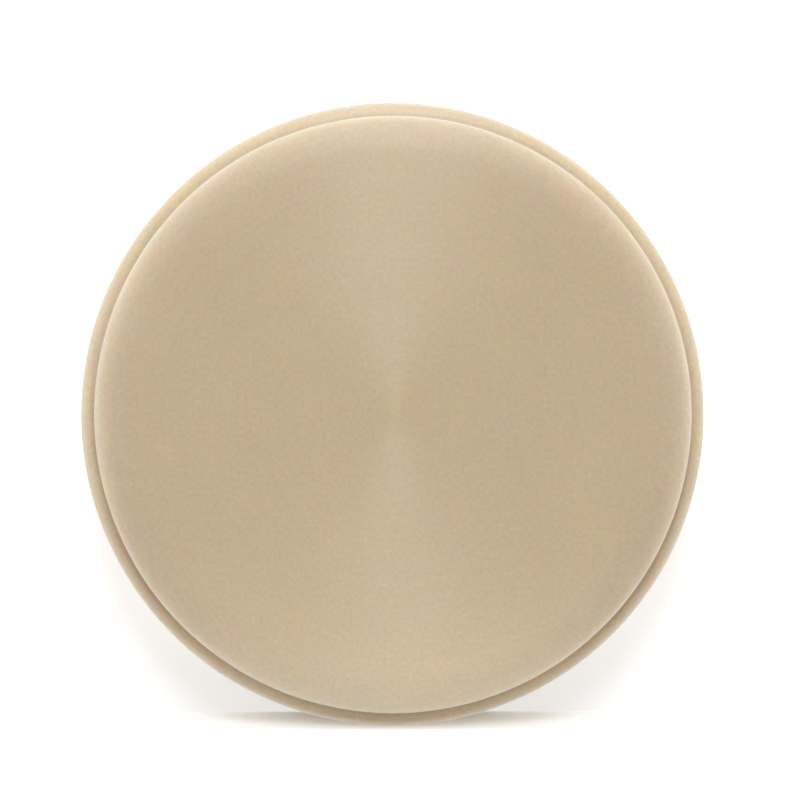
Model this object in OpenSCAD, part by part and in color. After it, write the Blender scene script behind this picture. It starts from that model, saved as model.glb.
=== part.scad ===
// Shaving soap puck: one solid piece of hard soap.
// A wide cylindrical band makes its body, and a raised face of slightly smaller
// diameter stands on it, with a broad soft shoulder round the face.
// The puck lies on its base, face up, as in a shaving bowl. The origin is the centre of
// the base, and +Z is up.

/* [Body] */
// Diameter across the wide band, which drops into a shaving bowl
band_d = 65; // [55:0.5:80]
// Height of the whole puck, from its flat base to its face
puck_h = 20; // [16:0.5:32]
// Width of the step between the band and the raised face
step_w = 1.6; // [1.5:0.1:3]
// Height of the raised face above the step
step_h = 3.9; // [3.5:0.1:6]

/* [Edges] */
// Width of the shoulder, where the face rounds over towards its edge
shoulder_w = 4; // [2:0.1:6]
// Depth of the shoulder, from the flat face down to the raised face's wall
shoulder_h = 1.8; // [0.8:0.1:3]
// Radius of the band's upper edge, at the outside of the step
band_edge_r = 1.2; // [0.4:0.1:1.2]
// Radius of the inside corner between the step and the raised face's wall
step_fillet_r = 0.3; // [0.1:0.1:0.3]
// Radius of the edge round the base
base_edge_r = 1; // [0.4:0.1:2]

/* [Hidden] */

$fn = 180;
SOAP_COLOUR = [0.78, 0.70, 0.58];

band_r = band_d / 2;
band_h = puck_h - step_h;
face_r = band_r - step_w;

// What a rounding of radius r takes off a square corner, seen from the rounding's centre
module corner_waste(r) {
    difference() {
        square(2 * r);
        circle(r);
    }
}

// Half section of the band: the puck's axis is at x = 0, and its base at y = 0
module band_section() {
    difference() {
        square([band_r, band_h]);
        translate([band_r - base_edge_r, base_edge_r])
            mirror([0, 1]) corner_waste(base_edge_r);
        translate([band_r - band_edge_r, band_h - band_edge_r])
            corner_waste(band_edge_r);
    }
}

// The little web of soap that rounds the inside corner of the step
module step_fillet_section() {
    translate([face_r, band_h])
        difference() {
            square(step_fillet_r);
            translate([step_fillet_r, step_fillet_r]) circle(step_fillet_r);
        }
}

// Half section of the raised face. Its shoulder is a quarter of an ellipse, which leaves
// the flat face without a crease, steepens all the way and runs into the wall.
module face_section() {
    square([face_r, puck_h - shoulder_h]);
    square([face_r - shoulder_w, puck_h]);
    translate([face_r - shoulder_w, puck_h - shoulder_h])
        scale([shoulder_w, shoulder_h]) circle(1);
}

module soap_puck() {
    color(SOAP_COLOUR)
        rotate_extrude() {
            band_section();
            step_fillet_section();
            face_section();
        }
}

soap_puck();
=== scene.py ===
"""The looks of a shaving soap puck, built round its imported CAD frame.

The puck lies on its base with its face up, and its axis is Z. The photograph shows it
standing on its band against white, seen straight at the face, so the camera looks down
the axis with +Y as the top of the picture. The floor below the base is the white behind
the puck in that picture, and the floor the photographed puck stands on is a wall that
touches the band at its lowest -Y.
"""

import math

import bmesh
import bpy
from mathutils import Matrix, Vector, noise


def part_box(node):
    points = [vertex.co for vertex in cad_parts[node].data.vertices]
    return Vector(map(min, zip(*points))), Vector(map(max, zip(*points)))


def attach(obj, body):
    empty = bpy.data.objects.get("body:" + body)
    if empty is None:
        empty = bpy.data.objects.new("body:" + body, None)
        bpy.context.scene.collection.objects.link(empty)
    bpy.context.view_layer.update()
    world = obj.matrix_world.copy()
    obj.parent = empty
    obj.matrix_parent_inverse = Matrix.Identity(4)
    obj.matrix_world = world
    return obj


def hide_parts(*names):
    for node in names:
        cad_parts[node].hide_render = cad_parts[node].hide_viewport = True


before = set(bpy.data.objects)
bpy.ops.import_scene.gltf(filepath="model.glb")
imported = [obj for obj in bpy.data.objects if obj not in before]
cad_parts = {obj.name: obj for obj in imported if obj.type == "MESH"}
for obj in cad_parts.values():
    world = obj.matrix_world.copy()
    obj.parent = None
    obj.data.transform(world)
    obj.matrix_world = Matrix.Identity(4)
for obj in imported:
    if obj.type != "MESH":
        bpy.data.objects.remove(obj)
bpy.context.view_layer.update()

MM = 0.001
NODE = "soap_puck"
WHITE = (1.0, 1.0, 1.0)

# The outside comes from the CAD node, and the other sizes are the CAD source's.
node_low, node_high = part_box(NODE)
BAND_R = node_high.x
PUCK_H = node_high.z
STEP_W = 1.6 * MM
STEP_H = 3.9 * MM
SHOULDER_W = 4.0 * MM
SHOULDER_H = 1.8 * MM
BAND_EDGE_R = 1.2 * MM
STEP_FILLET_R = 0.3 * MM
BASE_EDGE_R = 1.0 * MM
BAND_H = PUCK_H - STEP_H
FACE_R = BAND_R - STEP_W

# How finely the outline is cut up.
SEGMENTS = 384
FLAT_SPACING = 0.3 * MM
SIDE_SPACING = 0.6 * MM
SHOULDER_CUTS = 40
FILLET_CUTS = 6
BAND_EDGE_CUTS = 16
BASE_EDGE_CUTS = 12
SMALLEST_GAP = 0.01 * MM

# How far the surface wanders in from its true shape, and how wide its marks are.
TURNED_DEPTH = 0.006 * MM
TURNED_WIDTH = 1.3 * MM
TURNED_SEED = 4.7
WORN_DEPTH = 0.05 * MM
WORN_WIDTH = 9.0 * MM
NICK_WIDTH = 1.1 * MM
NICK_LEVEL = 0.35


# ---------------------------------------------------------------- shape
def steps(start, end, spacing):
    """Evenly spaced values from start to end, both included, about spacing apart."""
    count = max(1, round(abs(end - start) / spacing))
    return [start + (end - start) * i / count for i in range(count + 1)]


def arc(centre, radii, start_deg, end_deg, count):
    """Points on an upright ellipse round centre, as (radius, height) pairs."""
    points = []
    for i in range(count + 1):
        angle = math.radians(start_deg + (end_deg - start_deg) * i / count)
        points.append((
            centre[0] + radii[0] * math.cos(angle),
            centre[1] + radii[1] * math.sin(angle),
        ))
    return points


def outline():
    """The puck's outline from the middle of its face to the middle of its base."""
    flat_r = FACE_R - SHOULDER_W
    shoulder_z = PUCK_H - SHOULDER_H
    fillet = (FACE_R + STEP_FILLET_R, BAND_H + STEP_FILLET_R)
    band_edge = (BAND_R - BAND_EDGE_R, BAND_H - BAND_EDGE_R)
    base_edge = (BAND_R - BASE_EDGE_R, BASE_EDGE_R)
    points = [(r, PUCK_H) for r in steps(0.0, flat_r, FLAT_SPACING)]
    points += arc((flat_r, shoulder_z), (SHOULDER_W, SHOULDER_H), 90, 0, SHOULDER_CUTS)
    points += [(FACE_R, z) for z in steps(shoulder_z, fillet[1], FLAT_SPACING)]
    points += arc(fillet, (STEP_FILLET_R, STEP_FILLET_R), 180, 270, FILLET_CUTS)
    points += arc(band_edge, (BAND_EDGE_R, BAND_EDGE_R), 90, 0, BAND_EDGE_CUTS)
    points += [(BAND_R, z) for z in steps(band_edge[1], base_edge[1], SIDE_SPACING)]
    points += arc(base_edge, (BASE_EDGE_R, BASE_EDGE_R), 0, -90, BASE_EDGE_CUTS)
    points += [(r, 0.0) for r in steps(base_edge[0], 0.0, SIDE_SPACING)]
    kept = [points[0]]
    for point in points[1:]:
        if math.dist(point, kept[-1]) > SMALLEST_GAP:
            kept.append(point)
    return kept


def wander(point):
    """How far the surface lies inside its true shape at a point of the puck."""
    radius = math.hypot(point.x, point.y)
    turned = 0.5 + 0.5 * noise.noise(Vector((radius / TURNED_WIDTH, TURNED_SEED, 0.0)))
    worn = 0.5 + 0.5 * noise.noise(point / WORN_WIDTH)
    nicks = max(0.0, noise.noise(point / NICK_WIDTH) - NICK_LEVEL)
    return TURNED_DEPTH * turned + WORN_DEPTH * (0.5 * worn * worn + 0.5 * nicks)


def lathe(name, points):
    """A closed mesh turned from an outline that starts and ends on the axis."""
    mesh = bmesh.new()
    rings = []
    for radius, height in points[1:-1]:
        turn = [math.tau * i / SEGMENTS for i in range(SEGMENTS)]
        rings.append([mesh.verts.new((radius * math.cos(a), radius * math.sin(a), height))
                      for a in turn])
    top = mesh.verts.new((0.0, 0.0, points[0][1]))
    bottom = mesh.verts.new((0.0, 0.0, points[-1][1]))
    for i in range(SEGMENTS):
        j = (i + 1) % SEGMENTS
        mesh.faces.new((top, rings[0][i], rings[0][j]))
        for inner, outer in zip(rings, rings[1:]):
            mesh.faces.new((inner[i], outer[i], outer[j], inner[j]))
        mesh.faces.new((bottom, rings[-1][j], rings[-1][i]))
    mesh.normal_update()
    for vert in mesh.verts:
        vert.co -= vert.normal * wander(vert.co)
    data = bpy.data.meshes.new(name)
    mesh.to_mesh(data)
    mesh.free()
    data.shade_smooth()
    piece = bpy.data.objects.new(name, data)
    bpy.context.scene.collection.objects.link(piece)
    return piece


# ---------------------------------------------------------------- material
class Graph:
    """A few short ways of adding nodes to a material or a world."""

    def __init__(self, owner):
        owner.use_nodes = True
        self.nodes = owner.node_tree.nodes
        self.links = owner.node_tree.links
        self.nodes.clear()

    def add(self, kind, **settings):
        """A new node, with its own settings."""
        node = self.nodes.new(kind)
        for key, value in settings.items():
            setattr(node, key, value)
        return node

    def join(self, source, target):
        """A link from one socket to another."""
        self.links.new(source, target)

    def math(self, operation, a, b):
        """Arithmetic on two values, each a socket or a number."""
        node = self.add("ShaderNodeMath", operation=operation)
        for socket, value in zip(node.inputs, (a, b)):
            if isinstance(value, (int, float)):
                socket.default_value = value
            else:
                self.join(value, socket)
        return node.outputs[0]

    def noise(self, where, scale, detail=2.0, dimensions="3D"):
        """Noise from 0 to 1 at a place, or along a single value if it is 1D."""
        node = self.add("ShaderNodeTexNoise", noise_dimensions=dimensions)
        node.inputs["Scale"].default_value = scale
        node.inputs["Detail"].default_value = detail
        self.join(where, node.inputs["W" if dimensions == "1D" else "Vector"])
        return node.outputs["Fac"]

    def range(self, value, low, high, from_low=0.0, from_high=1.0):
        """Runs from low to high while value runs from from_low to from_high."""
        node = self.add("ShaderNodeMapRange")
        node.inputs["From Min"].default_value = from_low
        node.inputs["From Max"].default_value = from_high
        node.inputs["To Min"].default_value = low
        node.inputs["To Max"].default_value = high
        self.join(value, node.inputs["Value"])
        return node.outputs["Result"]

    def mix(self, factor, low, high):
        """A colour between two, each a socket or a colour, as factor runs from 0 to 1."""
        node = self.add("ShaderNodeMix", data_type="RGBA")
        for name, colour in (("A", low), ("B", high)):
            if isinstance(colour, tuple):
                node.inputs[name].default_value = (*colour, 1.0)
            else:
                self.join(colour, node.inputs[name])
        self.join(factor, node.inputs["Factor"])
        return node.outputs["Result"]


# The soap's colours, each from its darkest grain to its palest. Towards the edges the
# colour is
# painted paler and less warm: a painted sheen, for the white that the rounded edges
# reflect.
SOAP_TONES = ((0.548, 0.426, 0.248), (0.808, 0.664, 0.434))
PAINTED_SHEEN_TONES = ((0.495, 0.420, 0.276), (0.745, 0.655, 0.469))
PAINTED_SHEEN_FROM = 26.0 * MM
PAINTED_SHEEN_TO = 30.5 * MM

# The scale of each kind of mark, in about how many there are in a metre.
CLOUDS = 90.0
GRAINS = 2600.0
RINGS = 2200.0
WIDE_RINGS = 330.0

SMOOTHEST = 0.36
ROUGHEST = 0.50


def soap_colour(g, place, radius, marks):
    """The soap's own colour in the middle and a paler painted sheen round it, both clouded
    and grained.
    """
    cloud = g.noise(place, CLOUDS, 3.0)
    tone = g.math("ADD", g.math("MULTIPLY", cloud, 0.2), g.math("MULTIPLY", marks, 0.8))
    # Painted sheen: the colour turns paler and less warm towards the edges, from 26 mm out
    # to 30.5 mm.
    painted_sheen = g.range(radius, 0.0, 1.0, PAINTED_SHEEN_FROM, PAINTED_SHEEN_TO)
    return g.mix(painted_sheen, g.mix(tone, *SOAP_TONES), g.mix(tone, *PAINTED_SHEEN_TONES))


def soap_roughness(g, radius, grain):
    """Bands of more and less gloss round the axis, broken up by the grain."""
    bands = g.noise(radius, WIDE_RINGS, dimensions="1D")
    gloss = g.math("ADD", g.math("MULTIPLY", bands, 0.6), g.math("MULTIPLY", grain, 0.4))
    return g.range(gloss, SMOOTHEST, ROUGHEST, 0.25, 0.75)


def soap_material():
    """Hard soap: waxy, slightly translucent, with a fine grain and faint turned rings."""
    mat = bpy.data.materials.new("hard_shaving_soap")
    g = Graph(mat)
    shader = g.add("ShaderNodeBsdfPrincipled")
    out = g.add("ShaderNodeOutputMaterial")
    g.join(shader.outputs["BSDF"], out.inputs["Surface"])

    place = g.add("ShaderNodeTexCoord").outputs["Object"]
    split = g.add("ShaderNodeSeparateXYZ")
    g.join(place, split.inputs[0])
    squares = [g.math("MULTIPLY", split.outputs[k], split.outputs[k]) for k in "XY"]
    radius = g.math("POWER", g.math("ADD", *squares), 0.5)
    grain = g.noise(place, GRAINS)
    rings = g.noise(radius, RINGS, dimensions="1D")
    marks = g.math("ADD", g.math("MULTIPLY", rings, 0.15), g.math("MULTIPLY", grain, 0.85))
    g.join(soap_colour(g, place, radius, marks), shader.inputs["Base Color"])
    g.join(soap_roughness(g, radius, grain), shader.inputs["Roughness"])

    bump = g.add("ShaderNodeBump")
    bump.inputs["Strength"].default_value = 0.45
    bump.inputs["Distance"].default_value = 0.03 * MM
    g.join(marks, bump.inputs["Height"])
    g.join(bump.outputs["Normal"], shader.inputs["Normal"])
    tangent = g.add("ShaderNodeTangent", direction_type="RADIAL", axis="Z")
    g.join(tangent.outputs["Tangent"], shader.inputs["Tangent"])

    constants = {
        "Anisotropic": 0.85,
        "Anisotropic Rotation": 0.25,
        "IOR": 1.46,
        "Specular IOR Level": 0.7,
        "Subsurface Weight": 1.0,
        "Subsurface Radius": (1.0, 0.45, 0.12),
        "Subsurface Scale": 5.0 * MM,
        "Sheen Weight": 0.65,
        "Sheen Roughness": 0.7,
        "Coat Weight": 0.2,
        "Coat Roughness": 0.55,
        "Coat IOR": 1.5,
    }
    for name, value in constants.items():
        shader.inputs[name].default_value = value
    return mat


# ---------------------------------------------------------------- the puck
puck = lathe("puck_of_soap", outline())
puck.data.materials.append(soap_material())
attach(puck, "root")
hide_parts(NODE)


# ---------------------------------------------------------------- stage
REACH = 1.5
WALL_Y = -BAND_R
CARD_Y = WALL_Y - 3 * MM
CARD_X = 30 * MM
CARD_LOW = 21.5 * MM
CARD_HIGH = 32 * MM
CARD_GLOW = 0.9
PAPER = (0.88, 0.88, 0.88, 1.0)

# How the paper's own glow, which is painted light, grows from where the band touches the
# wall:
# from the first value of each pair of glows to the second, over the pair of distances. It
# is weakest next to the contact, so the shade there stays, and washes out the puck's
# shadow further off.
FLOOR_GLOW = (0.42, 0.52)
WALL_GLOW = (0.0, 0.5)
NEAR = (10 * MM, 28 * MM)
FAR_GLOW = (0.0, 0.7)
FAR = (90 * MM, 350 * MM)


def stage_plane(name, corners, material):
    """A flat sheet of the stage."""
    data = bpy.data.meshes.new(name)
    data.from_pydata(corners, [], [(0, 1, 2, 3)])
    data.materials.append(material)
    plane = bpy.data.objects.new(name, data)
    bpy.context.scene.collection.objects.link(plane)
    return plane


def white_paper(g, near_glow):
    """A matt white shader in graph g, which glows more away from the puck."""
    paper = g.add("ShaderNodeBsdfPrincipled")
    paper.inputs["Base Color"].default_value = PAPER
    paper.inputs["Roughness"].default_value = 0.9
    paper.inputs["Specular IOR Level"].default_value = 0.1
    paper.inputs["Emission Color"].default_value = (*WHITE, 1.0)
    away = g.add("ShaderNodeVectorMath", operation="DISTANCE")
    away.inputs[1].default_value = (0.0, WALL_Y, 0.0)
    g.join(g.add("ShaderNodeNewGeometry").outputs["Position"], away.inputs[0])
    near = g.range(away.outputs["Value"], *near_glow, *NEAR)
    far = g.range(away.outputs["Value"], *FAR_GLOW, *FAR)
    g.join(g.math("ADD", near, far), paper.inputs["Emission Strength"])
    return paper.outputs[0]


def floor_material():
    """White paper with a little light behind it, like a light table."""
    mat = bpy.data.materials.new("white_floor")
    g = Graph(mat)
    out = g.add("ShaderNodeOutputMaterial")
    g.join(white_paper(g, FLOOR_GLOW), out.inputs["Surface"])
    return mat


def wall_material():
    """White paper that is clear when it is seen from behind."""
    mat = bpy.data.materials.new("white_wall")
    g = Graph(mat)
    either = g.add("ShaderNodeMixShader")
    g.join(g.add("ShaderNodeNewGeometry").outputs["Backfacing"], either.inputs[0])
    g.join(white_paper(g, WALL_GLOW), either.inputs[1])
    g.join(g.add("ShaderNodeBsdfTransparent").outputs[0], either.inputs[2])
    out = g.add("ShaderNodeOutputMaterial")
    g.join(either.outputs[0], out.inputs["Surface"])
    return mat


def card_material():
    """A white glow, in place of the light from the floor of the photographed puck."""
    mat = bpy.data.materials.new("bounce_card")
    g = Graph(mat)
    glow = g.add("ShaderNodeEmission")
    glow.inputs["Color"].default_value = (*WHITE, 1.0)
    glow.inputs["Strength"].default_value = CARD_GLOW
    out = g.add("ShaderNodeOutputMaterial")
    g.join(glow.outputs[0], out.inputs["Surface"])
    return mat


stage_plane("floor", [(-REACH, -REACH, 0), (REACH, -REACH, 0),
                      (REACH, REACH, 0), (-REACH, REACH, 0)], floor_material())

# The wall is only for the camera: it takes the puck's shadow, and throws none back.
wall = stage_plane("wall", [(REACH, WALL_Y, 0), (-REACH, WALL_Y, 0),
                            (-REACH, WALL_Y, REACH), (REACH, WALL_Y, REACH)],
                   wall_material())
wall.visible_diffuse = False
wall.visible_glossy = False
wall.visible_transmission = False
wall.visible_shadow = False

# The card is only for the puck's lower shoulder, and the camera doesn't see it.
card = stage_plane("card", [(CARD_X, CARD_Y, CARD_LOW), (-CARD_X, CARD_Y, CARD_LOW),
                            (-CARD_X, CARD_Y, CARD_HIGH), (CARD_X, CARD_Y, CARD_HIGH)],
                   card_material())
card.visible_camera = False
card.visible_shadow = False


# ---------------------------------------------------------------- light
def aim_at(thing, place, target, up):
    """Puts a lamp or a camera at place, looking at target with up as its upright."""
    back = (Vector(place) - Vector(target)).normalized()
    right = Vector(up).cross(back).normalized()
    turn = Matrix((right, back.cross(right), back)).transposed()
    thing.matrix_world = Matrix.Translation(place) @ turn.to_4x4()


def soft_box(name, place, size, radiance):
    """A rectangular soft light that looks at the puck, with an even radiance."""
    data = bpy.data.lights.new(name, "AREA")
    data.shape = "RECTANGLE"
    data.size, data.size_y = size
    data.energy = radiance * math.pi * size[0] * size[1]
    lamp = bpy.data.objects.new(name, data)
    aim_at(lamp, place, (0.0, 0.0, PUCK_H / 2), (0.0, 0.0, 1.0))
    lamp.visible_camera = False
    bpy.context.scene.collection.objects.link(lamp)
    return lamp


# The high lamp makes the bow tie of light on the turned face, and the others are fill.
soft_box("overhead", (0.0, 0.6, 0.19), (0.9, 0.34), 0.3)
soft_box("high", (0.0, 0.2, 0.42), (0.12, 0.16), 12.5)
soft_box("side_left", (-0.55, 0.1, 0.17), (0.5, 0.3), 1.4)
soft_box("side_right", (0.55, 0.1, 0.17), (0.5, 0.3), 1.2)

HORIZON = 1.02
ZENITH = 0.38
WARM_SHADE = (0.20, 0.11, 0.06)


def surround():
    """A white room that is dimmer overhead, and dark and warm on the -Y side."""
    world = bpy.data.worlds.new("white_surround")
    g = Graph(world)
    split = g.add("ShaderNodeSeparateXYZ")
    g.join(g.add("ShaderNodeTexCoord").outputs["Generated"], split.inputs[0])
    by_height = g.range(split.outputs["Z"], HORIZON, ZENITH, 0.07, 0.6)
    by_side = g.range(split.outputs["Y"], 0.0, 1.0, -0.8, 0.0)
    background = g.add("ShaderNodeBackground")
    g.join(g.mix(by_side, WARM_SHADE, WHITE), background.inputs["Color"])
    g.join(by_height, background.inputs["Strength"])
    out = g.add("ShaderNodeOutputWorld")
    g.join(background.outputs[0], out.inputs["Surface"])
    return world


bpy.context.scene.world = surround()
bpy.context.scene.view_settings.view_transform = "Standard"


# ---------------------------------------------------------------- camera
CAMERA_AT = (-5.97 * MM, 5.47 * MM, BAND_H + 370 * MM)
CAMERA_AIM = (0.714 * MM, 1.498 * MM, BAND_H)
SENSOR_MM = 36.0
LENS_MM = 160.1
camera_data = bpy.data.cameras.new("camera")
camera_data.sensor_width = SENSOR_MM
camera_data.lens = LENS_MM
camera = bpy.data.objects.new("camera", camera_data)
aim_at(camera, CAMERA_AT, CAMERA_AIM, (0.0, 1.0, 0.0))
bpy.context.scene.collection.objects.link(camera)
bpy.context.scene.camera = camera
